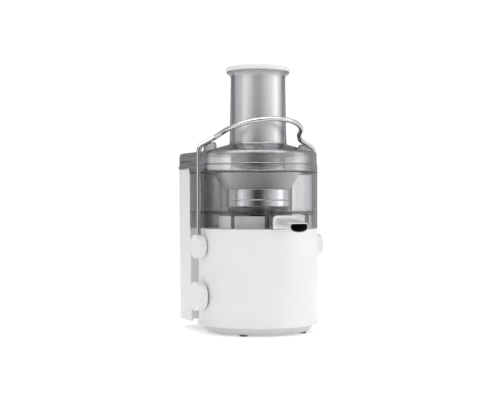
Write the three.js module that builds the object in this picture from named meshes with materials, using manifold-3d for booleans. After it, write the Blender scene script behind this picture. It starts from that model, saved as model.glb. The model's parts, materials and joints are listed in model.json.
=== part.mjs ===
// A centrifugal juicer: a round motor base with a clear juice bowl, a spinning filter basket,
// a clear lid with a wide feed tube, a pusher, a crescent pulp container behind the base and a
// bent-rod locking arm that swings over the lid. Millimetres, +Z up, front towards -Y.
// The origin is on the motor's axis, on the surface that the juicer stands on.
import * as THREE from "three";
import { mergeVertices } from "three/addons/utils/BufferGeometryUtils.js";
import Module from "manifold-3d";

const wasm = await Module();
wasm.setup();

// ---- driving dimensions ----
const BODY_R = 93; // outer radius of base, bowl and lid
const WALL = 2.6; // moulded wall thickness
const GAP = 0.3; // clearance between separate pieces
const DECK_Z = 161.5; // top of the motor base
const FLOOR_TOP_Z = 187; // upper side of the bowl's floor
const BOWL_TOP_Z = 246.6;
const LID_LOW_Z = 248.3; // lower edge of the lid's front skirt
const LID_TOP_Z = 281; // flat shoulder of the lid
const BIN_TOP_Z = 255; // rim of the pulp container
const BIN_LOW_Z = 14;
const BIN_FLOOR_Z = 17;
const BIN_FACE_Y = 62; // front faces of the container's two horns
const CORNER_Y = 58; // rear corners of the bowl
const HALF_DEPTH = 142; // the same to the front of the spout and to the back of the lid
const TUBE_IN_R = 40.2;
const TUBE_LOW_Z = 233;
const TUBE_TOP_Z = 405.5;
const PUSHER_R = 37.5;
const ARM_Z = 134; // height of the locking arm's pivots
const ARM_X = 100; // the arm's legs stand this far from the middle
const ROD_R = 3.75;
const HUB_R = 18;
const KNOB_DEPTH = 13.8; // how far the hubs and the dial stand out
const KNOB_X = BODY_R + 0.6;
const DIAL_Z = 58;
const DIAL_R = 22;
const BIG = 36; // sides of the large round pieces
const MID = 20;
const SMALL = 10;
const OUTLINE = 9; // segments in a quarter of the bowl's and lid's outlines

// ---- materials ----
const material = (color, roughness, metalness = 0, opacity = 1) =>
  new THREE.MeshStandardMaterial({ color, roughness, metalness, opacity, transparent: opacity < 1 });
const WHITE = material(0xf1f1ef, 0.35);
const SMOKE = material(0x8f8d92, 0.08, 0, 0.4);
const DARK_RUBBER = material(0x232326, 0.8);
const CHROME = material(0xd8d8da, 0.1, 1);
const STEEL = material(0xb9babd, 0.3, 1);
const SILVER = material(0xc4c4c6, 0.25, 0.9);
const COPPER = material(0xb0673a, 0.4, 0.8);
const IRON = material(0x5d5f63, 0.6, 0.7);
const DARK_PLASTIC = material(0x2c2d30, 0.5);
const BOARD = material(0x2f6b3c, 0.6);

// ---- solids ----
// A closed mesh as a solid, turned the right way out.
function solid(geometry) {
  const bare = geometry.index ? geometry.toNonIndexed() : geometry.clone();
  bare.deleteAttribute("normal");
  bare.deleteAttribute("uv");
  const merged = mergeVertices(bare, 1e-3);
  const point = merged.getAttribute("position");
  const corner = merged.index.array;
  const faces = [];
  let volume = 0;
  const [a, b, c] = [new THREE.Vector3(), new THREE.Vector3(), new THREE.Vector3()];
  for (let i = 0; i < corner.length; i += 3) {
    const [p, q, r] = [corner[i], corner[i + 1], corner[i + 2]];
    if (p === q || q === r || r === p) continue;
    faces.push([p, q, r]);
    a.fromBufferAttribute(point, p);
    b.fromBufferAttribute(point, q);
    c.fromBufferAttribute(point, r);
    volume += a.dot(b.cross(c));
  }
  const triVerts = new Uint32Array(faces.flatMap(([p, q, r]) => (volume < 0 ? [p, r, q] : [p, q, r])));
  return new wasm.Manifold(new wasm.Mesh({ numProp: 3, vertProperties: point.array, triVerts }));
}

const join = (...pieces) => pieces.reduce((whole, piece) => whole.add(piece));
const cut = (whole, ...pieces) => pieces.reduce((left, piece) => left.subtract(piece), whole);

// A solid of revolution about Z from [radius, height] pairs.
function turned(profile, sides = BIG) {
  const points = profile.map(([r, z]) => new THREE.Vector2(r, z));
  return solid(new THREE.LatheGeometry(points, sides).rotateX(Math.PI / 2));
}

// A ring or tube about Z, whose section is the closed loop of [radius, height] pairs.
const ring = (profile, sides = BIG) => turned([...profile, profile[0]], sides);

// A prism between two heights.
function prism(shape, low, high, curveSegments = OUTLINE) {
  const settings = { depth: high - low, bevelEnabled: false, curveSegments };
  const geometry = new THREE.ExtrudeGeometry(shape, settings);
  return solid(geometry.translate(0, 0, low));
}

function rod(r, low, high, sides = SMALL) {
  const cylinder = new THREE.CylinderGeometry(r, r, high - low, sides);
  return solid(cylinder.rotateX(Math.PI / 2).translate(0, 0, (low + high) / 2));
}

function block(x0, x1, y0, y1, z0, z1) {
  const box = new THREE.BoxGeometry(x1 - x0, y1 - y0, z1 - z0);
  return solid(box.translate((x0 + x1) / 2, (y0 + y1) / 2, (z0 + z1) / 2));
}

// A solid modelled about Z, laid down to point along X; side -1 points left and 1 right.
const sideways = (piece, side, z) => piece.rotate([0, 90 * side, 0]).translate([0, 0, z]);
const mirrored = (piece) => piece.mirror([1, 0, 0]);
const atAngle = (piece, degrees, radius) => piece.translate([radius, 0, 0]).rotate([0, 0, degrees]);

// ---- outlines seen from above ----
// The bowl: round at the front and back, with two square rear corners at the sides.
function bowlOutline(inset) {
  const r = BODY_R - inset;
  const y = CORNER_Y - inset;
  const start = Math.asin(y / r);
  const shape = new THREE.Shape();
  shape.moveTo(r, 0);
  shape.lineTo(r, y);
  shape.lineTo(r * Math.cos(start), y);
  shape.absarc(0, 0, r, start, Math.PI - start, false);
  shape.lineTo(-r, y);
  shape.lineTo(-r, 0);
  shape.absarc(0, 0, r, Math.PI, 2 * Math.PI, false);
  return shape;
}

// The gently bowed back with rounded corners that the lid and the pulp container share.
const BOW = 7;
const backStart = (halfWidth, depth, corner) =>
  depth - BOW - corner * (1 + (2 * BOW) / (halfWidth - corner));

function addBack(shape, halfWidth, depth, corner) {
  const slope = (2 * BOW) / (halfWidth - corner);
  const y = depth - BOW;
  shape.lineTo(halfWidth, backStart(halfWidth, depth, corner));
  shape.quadraticCurveTo(halfWidth, y - corner * slope, halfWidth - corner, y);
  shape.quadraticCurveTo(0, depth + BOW, corner - halfWidth, y);
  shape.quadraticCurveTo(-halfWidth, y - corner * slope, -halfWidth, backStart(halfWidth, depth, corner));
}

// The lid: a half circle at the front, straight sides and the rounded back.
function lidOutline(inset) {
  const r = BODY_R - inset;
  const shape = new THREE.Shape();
  shape.absarc(0, 0, r, Math.PI, 2 * Math.PI, false);
  addBack(shape, r, HALF_DEPTH - inset, 32 - inset);
  return shape;
}

// The pulp container: a crescent that hugs the back of the base.
function binOutline(inset) {
  const hollowR = BODY_R + 4 + inset;
  const halfWidth = BODY_R - 1.2 - inset;
  const y = BIN_FACE_Y + inset;
  const start = Math.asin(y / hollowR);
  const shape = new THREE.Shape();
  shape.moveTo(halfWidth, y);
  addBack(shape, halfWidth, HALF_DEPTH - 0.8 - inset, 31 - inset);
  shape.lineTo(-halfWidth, y);
  shape.lineTo(-hollowR * Math.cos(start), y);
  shape.absarc(0, 0, hollowR, Math.PI - start, start, true);
  return shape;
}

// The hollow below the container's floor, open towards the base.
function underBin() {
  const halfWidth = BODY_R - 1.2 - WALL;
  const shape = new THREE.Shape();
  shape.moveTo(halfWidth, 40);
  addBack(shape, halfWidth, HALF_DEPTH - 0.8 - WALL, 31 - WALL);
  shape.lineTo(-halfWidth, 40);
  return shape;
}

// ---- motor base ----
const POST_R = 73;
const POST_ANGLES = [20, 160, 200, 340];
const FOOT_R = 73.7;
const CORD_Z = 9.4;
const FOOT_ANGLES = { rear_right: 48, rear_left: 132, front_left: 228, front_right: 312 };

function baseHousing() {
  const shell = ring([
    [95.3, 13.7], [93.7, 18], [BODY_R, 24], [BODY_R, 160.2],
    [92, DECK_Z], [34.2, DECK_Z], [33, 176], [31, 179], [8.3, 179], [8.3, 176.4], [30.2, 176.4],
    [31, DECK_Z - WALL], [BODY_R - WALL, DECK_Z - WALL], [BODY_R - WALL, 22], [92, 13.7],
  ]);
  const posts = POST_ANGLES.map((angle) => atAngle(rod(4.5, 6.5, DECK_Z - 1), angle, POST_R));
  const pilots = POST_ANGLES.map((angle) => atAngle(rod(1.7, 0, 22, 8), angle, POST_R));
  // Behind each leg of the arm the wall steps in, from the hub up to the deck.
  const floorX = -86.8;
  const recess = block(-95, floorX, -1, 30, ARM_Z, DECK_Z + 1);
  const lining = block(floorX - 0.2, floorX + WALL, -1 - WALL, 30 + WALL, ARM_Z - WALL, DECK_Z - 1);
  const rims = join(
    block(-92.6, floorX + 1, -1 - WALL, -1, ARM_Z - WALL, DECK_Z - 1),
    block(-90, floorX + 1, -1 - WALL, 30, ARM_Z - WALL, ARM_Z),
    block(-88, floorX + 1, 30, 30 + WALL, ARM_Z - WALL, DECK_Z - 1),
  );
  const left = (whole) => cut(join(whole, lining, rims), recess);
  const right = (whole) => cut(join(whole, mirrored(lining), mirrored(rims)), mirrored(recess));
  const pivotHole = rod(7.7, 60, 96, 20);
  const dialHole = sideways(rod(4, 60, 96), -1, DIAL_Z);
  return cut(
    right(left(join(shell, ...posts))),
    ...pilots,
    sideways(pivotHole, -1, ARM_Z),
    sideways(pivotHole, 1, ARM_Z),
    dialHole,
  );
}

function bottomCover() {
  const plate = turned([
    [0, 2.5], [77.5, 2.5], [80.6, 4.4], [88.6, 13.2], [89.9, 13.2], [89.9, 20], [87.6, 20], [87.6, 14.6],
    [79.2, 5.3], [0, 5.3],
  ]);
  // A ledge behind carries the pulp container's floor.
  const sector = (inner, outer, low, high) => {
    const half = THREE.MathUtils.degToRad(30);
    const shape = new THREE.Shape();
    shape.absarc(0, 0, outer, Math.PI / 2 - half, Math.PI / 2 + half, false);
    shape.absarc(0, 0, inner, Math.PI / 2 + half, Math.PI / 2 - half, true);
    return prism(shape, low, high, 8);
  };
  const ledge = join(sector(86, 113, 10.4, 13.2), sector(98.5, 113, 13, BIN_FLOOR_Z - GAP));
  const slots = [];
  for (let i = 0; i < 8; i += 1) {
    slots.push(block(26, 46, -1.6, 1.6, 0, 9).rotate([0, 0, 45 * i]));
  }
  const screwHoles = POST_ANGLES.map((angle) => atAngle(rod(2, 0, 9, 10), angle, POST_R));
  const footHoles = Object.values(FOOT_ANGLES).map((angle) => atAngle(rod(3, 0, 9, 12), angle, FOOT_R));
  const cordHole = rod(6.1, 70, 100, 20).rotate([-90, 0, 0]).translate([0, 0, CORD_Z]);
  const cordGap = cordHole.intersect(block(-9, 9, 70, 100, 3.9, 16));
  return cut(join(plate, ledge), ...slots, ...screwHoles, ...footHoles, cordGap);
}

const foot = () =>
  turned([
    [0, 0], [5.9, 0], [6.6, 0.7], [6.6, 2.2], [2.7, 2.2], [2.7, 5.6], [3.9, 5.6], [2.4, 7.8], [0, 7.8],
  ], SMALL);
const coverScrew = () =>
  turned([[0, 0.8], [2.9, 0.8], [3.6, 1.4], [3.6, 2.2], [1.4, 2.2], [1.4, 18], [0, 19]], 8);

function cordGland() {
  // A rubber grommet in the rear of the bottom cover, about Y.
  const grommet = ring([[3.6, 0], [5.4, 0], [5.4, 6.6], [3.6, 6.6]], SMALL);
  return grommet.rotate([-90, 0, 0]).translate([0, 79.5, CORD_Z]);
}

// ---- motor ----
const BOLT_R = 47.6;
const BOLT_ANGLES = [45, 225];
const SHAFT_R = 5;
const SHAFT_SIDES = 16;

// A round sleeve about Z.
const sleeve = (inner, outer, low, high, sides = MID) =>
  ring([[inner, low], [outer, low], [outer, high], [inner, high]], sides);
const onShaft = (outer, low, high, sides = SHAFT_SIDES) => sleeve(SHAFT_R + GAP, outer, low, high, sides);

function motorPlate(low, high, seatR, seatLow, seatHigh) {
  const inner = seatR + GAP;
  const plate = join(sleeve(inner, 52, low, high), sleeve(inner, seatR + 3.5, seatLow, seatHigh));
  return cut(plate, ...BOLT_ANGLES.map((angle) => atAngle(rod(2.4, low - 1, high + 1, 10), angle, BOLT_R)));
}

const tieBolt = () => turned([[0, 32], [4, 32], [4, 35.6], [2, 35.6], [2, 157], [0, 157]], 10);
const damper = () => {
  const high = DECK_Z - WALL - GAP;
  return ring([[2.2, 153.4], [7, 153.4], [5.6, 155.8], [7, high], [2.2, high]], SMALL);
};

function statorCore() {
  const core = sleeve(27.6, 45, 76, 118);
  const flats = [0, 90, 180, 270].map((angle) => block(43.4, 50, -30, 30, 70, 124).rotate([0, 0, angle]));
  return cut(core, ...flats);
}

function winding(low, high) {
  const middle = (low + high) / 2;
  return ring([[29.4, low], [42, low], [43.4, middle], [42, high], [29.4, high], [28, middle]], MID);
}

function brushHolder() {
  return join(block(13.6, 36, -5, 5, 48, 58), block(30, 34, -4, 4, 39.4, 49));
}

const motorShaft = () =>
  turned([[0, 30], [SHAFT_R, 30], [SHAFT_R, 178], [4.2, 180], [4.2, 193], [0, 193.6]], SHAFT_SIDES);
const rotorCore = () => onShaft(26.6, 76, 118, MID);
const commutator = () => {
  const inner = SHAFT_R + GAP;
  return ring([[inner, 46], [13, 46], [13, 60], [15, 60], [15, 62], [inner, 62]], SHAFT_SIDES);
};

function coolingFan() {
  const hub = onShaft(12, 134, 144);
  const disc = sleeve(11, 40, 142.4, 144);
  const blades = [];
  for (let i = 0; i < 8; i += 1) {
    blades.push(block(11, 39, -0.9, 0.9, 134, 143).rotate([0, 0, 45 * i + 4]));
  }
  return join(hub, disc, ...blades);
}

function driveCoupling() {
  const core = sleeve(4.2 + GAP, 11.6, 181, 193, SHAFT_SIDES);
  const teeth = [];
  for (let i = 0; i < 6; i += 1) teeth.push(block(10, 14, -2, 2, 181, 192).rotate([0, 0, 60 * i]));
  return join(core, ...teeth);
}

const shaftSeal = () => {
  const inner = SHAFT_R + GAP;
  return ring([
    [inner, 175], [7.9, 175], [7.9, 179.4], [10.5, 179.4], [10.5, 180.6], [inner, 180.6],
  ], SHAFT_SIDES);
};

// ---- controls inside the base ----
const speedSwitch = () =>
  join(block(-82, -66, -14, 14, DIAL_Z - 14, DIAL_Z + 14), block(-67, -60, -9, 9, DIAL_Z - 10, DIAL_Z - 6));

function controlBoard() {
  const board = block(-30, 30, 66, 67.6, 58, 122);
  const parts = [
    block(-24, -8, 56, 66.2, 64, 84),
    block(2, 22, 58, 66.2, 66, 76),
    block(-22, 4, 60, 66.2, 96, 112),
    rod(5, 0, 12).rotate([90, 0, 0]).translate([18, 66.2, 100]),
  ];
  return join(board, ...parts);
}

const interlockSwitch = () =>
  join(block(-80, -73.6, -10, 10, 146, 156), block(-79, -75, -7, -5, 144.6, 147));

// ---- locking arm ----
const PIVOT_R = 5;
const LEG_TOP_Z = 288; // the rod turns inwards here
const NECK_X = 70;
const NECK_Z = 303.4; // and round the feed tube from here
const pivotBush = () => sleeve(PIVOT_R + GAP, 7.3, 84, BODY_R + 0.1, 16);

// A round cap about Z with a socket behind that holds the pivot.
const armHub = () =>
  turned([
    [0, KNOB_X + 9], [PIVOT_R + GAP, KNOB_X + 9], [PIVOT_R + GAP, KNOB_X], [HUB_R, KNOB_X],
    [HUB_R, KNOB_X + 12.4], [HUB_R - 1.4, KNOB_X + KNOB_DEPTH], [0, KNOB_X + KNOB_DEPTH],
  ], MID);

const rodHole = () => rod(ROD_R + GAP, ARM_Z + 6.4, ARM_Z + 40);
const armPivot = () => turned([[0, 79], [PIVOT_R, 79], [PIVOT_R, KNOB_X + 8.6], [0, KNOB_X + 8.6]], 16);
const interlockCam = () => join(rod(8.4, 74.2, 78.7, 16), block(0, 10, -3, 3, 74.2, 78.7));

// The rod's line: two upright legs, a bend inwards over each shoulder of the lid, and a loop round
// the front of the feed tube that rises towards the front.
function armPath() {
  const legTop = new THREE.Vector3(ARM_X, 0, LEG_TOP_Z);
  const neck = new THREE.Vector3(NECK_X, 0, NECK_Z);
  const loopR = 67.5;
  const loopLowZ = 308.5;
  const loopHighZ = 327.8;
  const loop = [];
  const first = THREE.MathUtils.degToRad(10);
  for (let i = 0; i <= 12; i += 1) {
    const angle = first + ((Math.PI - 2 * first) * i) / 12;
    const forward = (Math.sin(angle) - Math.sin(first)) / (1 - Math.sin(first));
    const z = loopLowZ + (loopHighZ - loopLowZ) * forward;
    loop.push(new THREE.Vector3(loopR * Math.cos(angle), -loopR * Math.sin(angle), z));
  }
  const mirror = (p) => new THREE.Vector3(-p.x, p.y, p.z);
  const towards = (from, to, distance) => from.clone().add(to.clone().sub(from).setLength(distance));
  const path = new THREE.CurvePath();
  const rightLow = new THREE.Vector3(ARM_X, 0, ARM_Z + 7);
  const bendLow = towards(legTop, rightLow, 9);
  const bendHigh = towards(legTop, neck, 9);
  const neckIn = towards(neck, legTop, 5);
  const leftLow = mirror(rightLow);
  path.add(new THREE.LineCurve3(rightLow, bendLow));
  path.add(new THREE.QuadraticBezierCurve3(bendLow, legTop, bendHigh));
  path.add(new THREE.LineCurve3(bendHigh, neckIn));
  const crown = [neckIn, ...loop, mirror(neckIn)];
  path.add(new THREE.CatmullRomCurve3(crown, false, "centripetal"));
  path.add(new THREE.LineCurve3(mirror(neckIn), mirror(bendHigh)));
  path.add(new THREE.QuadraticBezierCurve3(mirror(bendHigh), mirror(legTop), mirror(bendLow)));
  path.add(new THREE.LineCurve3(mirror(bendLow), leftLow));
  return path;
}

function armRod() {
  const section = new THREE.Shape();
  section.absarc(0, 0, ROD_R, 0, 2 * Math.PI, false);
  const geometry = new THREE.ExtrudeGeometry(section, {
    steps: 60,
    curveSegments: 4,
    bevelEnabled: false,
    extrudePath: armPath(),
  });
  return solid(geometry);
}

// ---- speed dial ----
const speedDial = () =>
  turned([
    [0, KNOB_X + 9], [3 + GAP, KNOB_X + 9], [3 + GAP, KNOB_X], [6.5, KNOB_X], [6.5, KNOB_X + 11.4],
    [DIAL_R - 2.2, KNOB_X + 11.4], [DIAL_R - 2.2, KNOB_X], [DIAL_R, KNOB_X], [DIAL_R, KNOB_X + 12.2],
    [DIAL_R - 1.6, KNOB_X + KNOB_DEPTH], [0, KNOB_X + KNOB_DEPTH],
  ], MID);
const switchShaft = () => turned([[0, 82.4], [3, 82.4], [3, KNOB_X + 8.6], [0, KNOB_X + 8.6]], SMALL);

// ---- juice bowl and spout ----
const SUMP = { halfWidth: 14.6, back: -64.4, floorZ: 168 };

function juiceBowl() {
  const wall = cut(
    prism(bowlOutline(0), DECK_Z + GAP, BOWL_TOP_Z),
    prism(bowlOutline(WALL), FLOOR_TOP_Z, BOWL_TOP_Z + 1),
    prism(bowlOutline(WALL), DECK_Z, FLOOR_TOP_Z - 3),
  );
  const collar = sleeve(24, 26.4, 184, 192);
  const rib = sleeve(45.5, 48, 185, 193.6, BIG);
  const { halfWidth, back, floorZ } = SUMP;
  const trough = block(-halfWidth - 2.2, halfWidth + 2.2, -91, back + 2.2, floorZ - 2.2, 184.5);
  const drop = block(-halfWidth, halfWidth, -89.6, back, floorZ, FLOOR_TOP_Z + 1);
  const mouth = block(-halfWidth, halfWidth, -96, -89, floorZ, 179.4);
  return cut(join(cut(wall, rod(24, 180, 190, MID)), collar, rib, trough), drop, mouth);
}

const lidGasket = () =>
  cut(
    prism(bowlOutline(-0.15), BOWL_TOP_Z + GAP, LID_LOW_Z - GAP),
    prism(bowlOutline(2.7), BOWL_TOP_Z, LID_LOW_Z),
  );

const NOZZLE = {
  rootY: -96, mouthY: -HALF_DEPTH, rootZ: 171.9, mouthZ: 165.2, rootHalf: 15.8, mouthHalf: 14.2,
};

// A flat-topped, round-bellied tube whose section shrinks from the collar to the mouth.
function nozzle(grow, fromY, toY) {
  const { rootY, mouthY, rootZ, mouthZ, rootHalf, mouthHalf } = NOZZLE;
  const half = rootHalf + grow;
  const top = 6.2 + grow;
  const low = 8.6 + grow;
  const round = Math.min(3, top * 0.6);
  const shape = new THREE.Shape();
  shape.moveTo(-half + round, top);
  shape.quadraticCurveTo(-half, top, -half, top - round);
  shape.lineTo(-half, 0);
  shape.bezierCurveTo(-half + 1.5, -low * 0.9, -half * 0.5, -low, 0, -low);
  shape.bezierCurveTo(half * 0.5, -low, half - 1.5, -low * 0.9, half, 0);
  shape.lineTo(half, top - round);
  shape.quadraticCurveTo(half, top, half - round, top);
  const settings = { depth: 1, steps: 4, bevelEnabled: false, curveSegments: 5 };
  const geometry = new THREE.ExtrudeGeometry(shape, settings);
  const point = geometry.getAttribute("position");
  const shrink = mouthHalf / rootHalf;
  for (let i = 0; i < point.count; i += 1) {
    const y = THREE.MathUtils.lerp(fromY, toY, point.getZ(i));
    const along = (y - rootY) / (mouthY - rootY);
    const scale = 1 + (shrink - 1) * along;
    const z = rootZ + (mouthZ - rootZ) * along;
    point.setXYZ(i, point.getX(i) * scale, y, z + point.getY(i) * scale);
  }
  return solid(geometry);
}

function spout() {
  const [half, low, high, round] = [19.3, DECK_Z + 0.2, 181.8, 7];
  const arch = new THREE.Shape();
  arch.moveTo(-half, low);
  arch.lineTo(half, low);
  arch.lineTo(half, high - round);
  arch.absarc(half - round, high - round, round, 0, Math.PI / 2, false);
  arch.absarc(round - half, high - round, round, Math.PI / 2, Math.PI, false);
  const plate = prism(arch, 93.4, 97.6, 5).rotate([90, 0, 0]);
  const outer = nozzle(0, -96, -HALF_DEPTH);
  const bore = nozzle(-2, -90, -HALF_DEPTH - 2);
  return cut(join(plate, outer), bore);
}

// ---- filter basket ----
const CONE = { lowR: 50.4, lowZ: 222, highR: 66, highZ: 246.4 };

function filterMesh() {
  const { lowR, highR, highZ } = CONE;
  const low = CONE.lowZ + GAP;
  return ring([[lowR - 0.9, low], [lowR, low], [highR, highZ], [highR - 0.9, highZ]]);
}

function filterRim() {
  const { highR, highZ } = CONE;
  return ring([
    [highR - 1.2, highZ + GAP], [highR + 1, highZ + GAP], [69, highZ + 3], [69, highZ + 4.4],
    [67.4, highZ + 5.4], [65.4, highZ + 4],
  ]);
}

function basketDrum() {
  const high = CONE.lowZ;
  return ring([[47.6, 205], [50.3, 205], [50.3, high], [44, high], [44, high - 2], [47.6, high - 2]]);
}

function basketBase() {
  const dish = ring([
    [16, 195.5], [49.4, 195.5], [50.7, 196.8], [50.7, 204.7], [48.2, 204.7], [48.2, 198.3],
    [19.4, 198.3], [19.4, 196], [16, 196],
  ]);
  const socket = ring([
    [15.4, 182.4], [20.6, 182.4], [20.6, 196.5], [19, 198.3], [5, 198.3], [5, 194.4], [15.4, 194.4],
  ], MID);
  return join(dish, socket);
}

function graterDisc() {
  const disc = turned([[0, 222.4], [43.4, 222.4], [43.4, 223.6], [0, 223.6]], MID);
  const teeth = [];
  for (let row = 0; row < 3; row += 1) {
    const count = 6 + row * 4;
    const tooth = solid(new THREE.ConeGeometry(1.5, 3.2, 4).rotateX(Math.PI / 2));
    for (let i = 0; i < count; i += 1) {
      teeth.push(atAngle(tooth.translate([0, 0, 224.6]), (360 * i) / count + row * 9, 13 + row * 12));
    }
  }
  return join(disc, ...teeth);
}

const graterPost = () => turned([[0, 198.7], [6, 198.7], [6, 222.1], [0, 222.1]], SMALL);

// ---- lid ----
function lidEar() {
  // A hump on the lid's shoulder that the arm's rod lies across.
  const [inner, outer, halfWidth] = [73, 90, 7];
  const slope = (NECK_Z - LEG_TOP_Z) / (ARM_X - NECK_X);
  const under = (x) => LEG_TOP_Z + (ARM_X - x) * slope - (ROD_R + GAP) * Math.hypot(1, slope);
  const shape = new THREE.Shape();
  shape.moveTo(inner, LID_TOP_Z - 4);
  shape.lineTo(outer, LID_TOP_Z - 4);
  shape.lineTo(outer, under(outer) - 1.5);
  shape.lineTo(outer - 1.5, under(outer - 1.5));
  shape.lineTo(inner + 4, under(inner + 4));
  shape.quadraticCurveTo(inner, under(inner) - 0.6, inner, under(inner) - 6);
  const hump = prism(shape, -halfWidth, halfWidth, 4);
  return hump.rotate([90, 0, 0]);
}

function lid() {
  const round = 7;
  const dome = new THREE.ExtrudeGeometry(lidOutline(round), {
    depth: 30,
    bevelThickness: round,
    bevelSize: round,
    bevelSegments: 2,
    curveSegments: OUTLINE,
  }).translate(0, 0, LID_TOP_Z - 30 - round);
  const upper = solid(dome).intersect(block(-200, 200, -200, 200, BIN_TOP_Z + GAP, 300));
  const skirt = prism(bowlOutline(0), LID_LOW_Z, BIN_TOP_Z + 1);
  const hollow = join(
    prism(lidOutline(WALL), BIN_TOP_Z - 1, LID_TOP_Z - WALL),
    prism(bowlOutline(WALL), LID_LOW_Z - 1, BIN_TOP_Z),
    rod(80, 270, 284, BIG),
  );
  const crown = ring([
    [84, LID_TOP_Z], [44.6, 292], [42, 291], [42, 289], [78, 279.2], [84, LID_TOP_Z - WALL + 0.1],
  ]);
  const tube = ring([
    [TUBE_IN_R, TUBE_LOW_Z], [43, TUBE_LOW_Z], [43.2, 289], [45.8, 292.6], [44.4, 296],
    [42.6, 396], [48.4, 403.6], [48.4, TUBE_TOP_Z], [46.6, TUBE_TOP_Z], [TUBE_IN_R, 397],
  ]);
  return join(cut(join(upper, skirt), hollow), crown, tube, lidEar(), mirrored(lidEar()));
}

// ---- pusher ----
const pusherBarrel = () =>
  turned([
    [0, 237], [PUSHER_R - 2, 237], [PUSHER_R, 239], [PUSHER_R, 404.5],
    [PUSHER_R - 2, 404.5], [PUSHER_R - 2, 240], [0, 240],
  ], MID);
const pusherCap = () =>
  turned([
    [0, 403], [35, 403], [35, 405.8], [50.2, 405.8], [50.9, 406.6],
    [50.9, 410.4], [48.4, 412.8], [30, 413.8], [0, 414.2],
  ]);

// ---- pulp container ----
function pulpContainer() {
  // The sides lean in a little towards the bottom.
  const taper = (piece) =>
    piece.warp((p) => {
      const scale = 1 - (0.016 * (BIN_TOP_Z - p[2])) / (BIN_TOP_Z - BIN_LOW_Z);
      p[0] *= scale;
      if (p[1] > 100) p[1] = 100 + (p[1] - 100) * (1 - 3.5 * (1 - scale));
    });
  const outer = prism(binOutline(0), BIN_FLOOR_Z, BIN_TOP_Z);
  const skirt = cut(prism(binOutline(0), BIN_LOW_Z, BIN_FLOOR_Z + 1), prism(underBin(), 0, 30));
  const cavity = prism(binOutline(WALL), BIN_FLOOR_Z + WALL, BIN_TOP_Z + 5);
  const halfWidth = BODY_R - 1.2;
  const wing = new THREE.Shape();
  wing.moveTo(BIN_FACE_Y + 1, BIN_LOW_Z);
  wing.lineTo(BIN_FACE_Y + 1, BIN_TOP_Z);
  wing.lineTo(61, BIN_TOP_Z);
  wing.lineTo(54, BIN_LOW_Z);
  const plate = new THREE.ExtrudeGeometry(wing, { depth: WALL, bevelEnabled: false });
  // The extrusion's (x, y, z) become the part's (y, z, x).
  plate.rotateX(Math.PI / 2).rotateZ(Math.PI / 2).translate(halfWidth - WALL, 0, 0);
  const side = solid(plate);
  return taper(cut(join(outer, skirt, side, mirrored(side)), cavity));
}

// ---- assembly ----
const juicer = new THREE.Group();

function add(name, piece, look) {
  const { vertProperties, triVerts } = piece.getMesh();
  const geometry = new THREE.BufferGeometry();
  geometry.setAttribute("position", new THREE.BufferAttribute(vertProperties, 3));
  geometry.setIndex(new THREE.BufferAttribute(triVerts, 1));
  geometry.computeVertexNormals();
  const mesh = new THREE.Mesh(geometry, look);
  mesh.name = name;
  juicer.add(mesh);
}

add("base_housing", baseHousing(), WHITE);
add("bottom_cover", bottomCover(), WHITE);
for (const [place, angle] of Object.entries(FOOT_ANGLES)) {
  add(`foot_${place}`, atAngle(foot(), angle, FOOT_R), DARK_RUBBER);
}
POST_ANGLES.forEach((angle, i) => add(`cover_screw_${i + 1}`, atAngle(coverScrew(), angle, POST_R), STEEL));
add("cord_gland", cordGland(), DARK_RUBBER);

add("motor_upper_bracket", motorPlate(150, 153, 11, 145, 153), STEEL);
add("motor_lower_bracket", motorPlate(36, 39, 9, 33, 41), STEEL);
[0, 120, 240].forEach((angle, i) => add(`motor_damper_${i + 1}`, atAngle(damper(), angle, 42), DARK_RUBBER));
BOLT_ANGLES.forEach((angle, i) => add(`motor_tie_bolt_${i + 1}`, atAngle(tieBolt(), angle, BOLT_R), STEEL));
add("stator_core", statorCore(), IRON);
add("field_winding_upper", winding(118.3, 131), COPPER);
add("field_winding_lower", winding(63, 75.7), COPPER);
add("brush_holder_left", brushHolder().rotate([0, 0, 180]), DARK_PLASTIC);
add("brush_holder_right", brushHolder(), DARK_PLASTIC);
add("bearing_upper", onShaft(11, 146, 152.6), STEEL);
add("bearing_lower", onShaft(9, 34, 40.6), STEEL);
add("shaft_seal", shaftSeal(), DARK_RUBBER);
add("speed_switch", speedSwitch(), DARK_PLASTIC);
add("interlock_switch", interlockSwitch(), DARK_PLASTIC);
add("control_board", controlBoard(), BOARD);

add("motor_shaft", motorShaft(), STEEL);
add("rotor_core", rotorCore(), IRON);
add("commutator", commutator(), COPPER);
add("cooling_fan", coolingFan(), DARK_PLASTIC);
add("drive_coupling", driveCoupling(), DARK_PLASTIC);

for (const [place, side] of [["left", -1], ["right", 1]]) {
  add(`pivot_bush_${place}`, sideways(pivotBush(), side, ARM_Z), DARK_PLASTIC);
  const hub = sideways(armHub(), side, ARM_Z);
  add(`arm_hub_${place}`, cut(hub, rodHole().translate([side * ARM_X, 0, 0])), WHITE);
  add(`arm_pivot_${place}`, sideways(armPivot(), side, ARM_Z), STEEL);
}
add("interlock_cam", sideways(interlockCam(), -1, ARM_Z), DARK_PLASTIC);
add("locking_arm", armRod(), CHROME);
add("speed_dial", sideways(speedDial(), -1, DIAL_Z), WHITE);
add("switch_shaft", sideways(switchShaft(), -1, DIAL_Z), STEEL);

add("juice_bowl", juiceBowl(), SMOKE);
add("lid_gasket", lidGasket(), DARK_RUBBER);
add("spout", spout(), WHITE);
add("filter_mesh", filterMesh(), STEEL);
add("filter_rim", filterRim(), STEEL);
add("basket_drum", basketDrum(), STEEL);
add("basket_base", basketBase(), STEEL);
add("grater_disc", graterDisc(), STEEL);
add("grater_post", graterPost(), STEEL);
add("lid", lid(), SMOKE);
add("pusher_barrel", pusherBarrel(), SILVER);
add("pusher_cap", pusherCap(), WHITE);
add("pulp_container", pulpContainer(), WHITE);

export default juicer;
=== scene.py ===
import json
import math

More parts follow.
